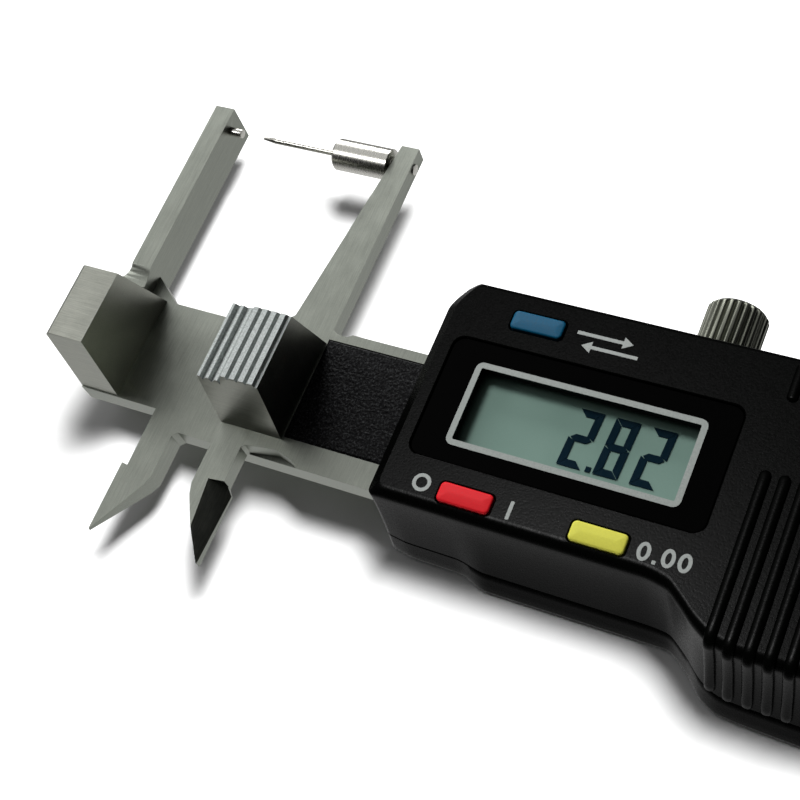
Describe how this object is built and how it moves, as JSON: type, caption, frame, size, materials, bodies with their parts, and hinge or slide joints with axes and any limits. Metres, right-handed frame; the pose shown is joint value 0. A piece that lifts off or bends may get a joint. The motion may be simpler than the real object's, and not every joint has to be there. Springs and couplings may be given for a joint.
{
  "type": "digital caliper",
  "caption": "Digital sliding caliper for jewellery: flat measuring blocks, a needle facing an anvil pin, pointed inside jaws and a black display housing with buttons.",
  "frame": {"origin": "centre of the fixed block's flat measuring face, on the beam's centre line", "axes": "+X along the beam, the way the slider opens; +Y across it towards the pin arms; +Z out of the display face"},
  "size_m": [0.1896, 0.0505, 0.0173],
  "materials": {
    "satin_steel": "brushed along the beam",
    "block_steel": "ground, teeth blasted",
    "screw_steel": "turned",
    "pin_steel": "polished",
    "board_green": "solder mask",
    "scale_film": "printed film",
    "grain_black": "coarse black grain",
    "brass": "plain",
    "chip_epoxy": "epoxy",
    "elastomer": "soft",
    "lcd": "grey-green display glass",
    "black_plastic": "fine moulded texture",
    "cell_steel": "plated",
    "gloss_black": "polished",
    "button_red": "moulded",
    "button_yellow": "moulded",
    "button_blue": "moulded",
    "knob_metal": "knurled"
  },
  "bodies": {
    "beam": {"beam": "satin_steel", "fixed_block": "block_steel", "fixed_block_screws": "screw_steel", "anvil_pin": "pin_steel", "scale_strip": "board_green", "scale_film": "scale_film", "end_stop": "satin_steel", "end_stop_screws": "screw_steel"},
    "slider": {"slider_frame": "satin_steel", "moving_block": "block_steel", "moving_block_screws": "screw_steel", "needle_holder": "pin_steel", "needle": "pin_steel", "holder_stud": "pin_steel", "textured_insert": "grain_black", "gib_strip": "brass", "gib_screws": "screw_steel", "retaining_plate": "satin_steel", "retaining_plate_screws": "screw_steel", "reader_board": "board_green", "circuit_board": "board_green", "chip": "chip_epoxy", "switch_domes": "pin_steel", "elastomer_strips": "elastomer", "lcd_glass": "lcd", "lcd_holder": "black_plastic", "battery": "cell_steel", "battery_contacts": "brass", "housing": "black_plastic", "housing_screws": "screw_steel", "window_panel": "gloss_black", "back_cover": "black_plastic", "back_cover_screws": "screw_steel"},
    "button_power": {"button_power": "button_red"},
    "button_zero": {"button_zero": "button_yellow"},
    "button_unit": {"button_unit": "button_blue"},
    "battery_lid": {"battery_lid": "black_plastic"},
    "lock_plug": {"lock_plug": "brass"},
    "lock_knob": {"lock_knob": "knob_metal"}
  },
  "joints": [
    {"name": "slider_slide", "type": "slide", "parent": "beam", "child": "slider", "axis": [1, 0, 0], "range_m": [-0.00282, 0.0861]},
    {"name": "power_press", "type": "slide", "parent": "slider", "child": "button_power", "axis": [0, 0, -1], "range_m": [0, 0.0004], "stiffness_N_per_m": 600, "springref_m": -0.0004},
    {"name": "zero_press", "type": "slide", "parent": "slider", "child": "button_zero", "axis": [0, 0, -1], "range_m": [0, 0.0004], "stiffness_N_per_m": 600, "springref_m": -0.0004},
    {"name": "unit_press", "type": "slide", "parent": "slider", "child": "button_unit", "axis": [0, 0, -1], "range_m": [0, 0.0004], "stiffness_N_per_m": 600, "springref_m": -0.0004},
    {"name": "lid_slide", "type": "slide", "parent": "slider", "child": "battery_lid", "axis": [1, 0, 0], "range_m": [0, 0.0145]},
    {"name": "lock_advance", "type": "slide", "parent": "slider", "child": "lock_plug", "axis": [0, -1, 0], "range_m": [-0.00045, 0.00009]},
    {"name": "lock_turn", "type": "hinge", "parent": "lock_plug", "child": "lock_knob", "pos_m": [0.0591, 0.015, -0.00635], "axis": [0, -1, 0], "range_deg": [-362, 73]}
  ],
  "couplings": [
    {"joint": "lock_turn", "follows": "lock_advance", "rad_per_m": 13963}
  ]
}
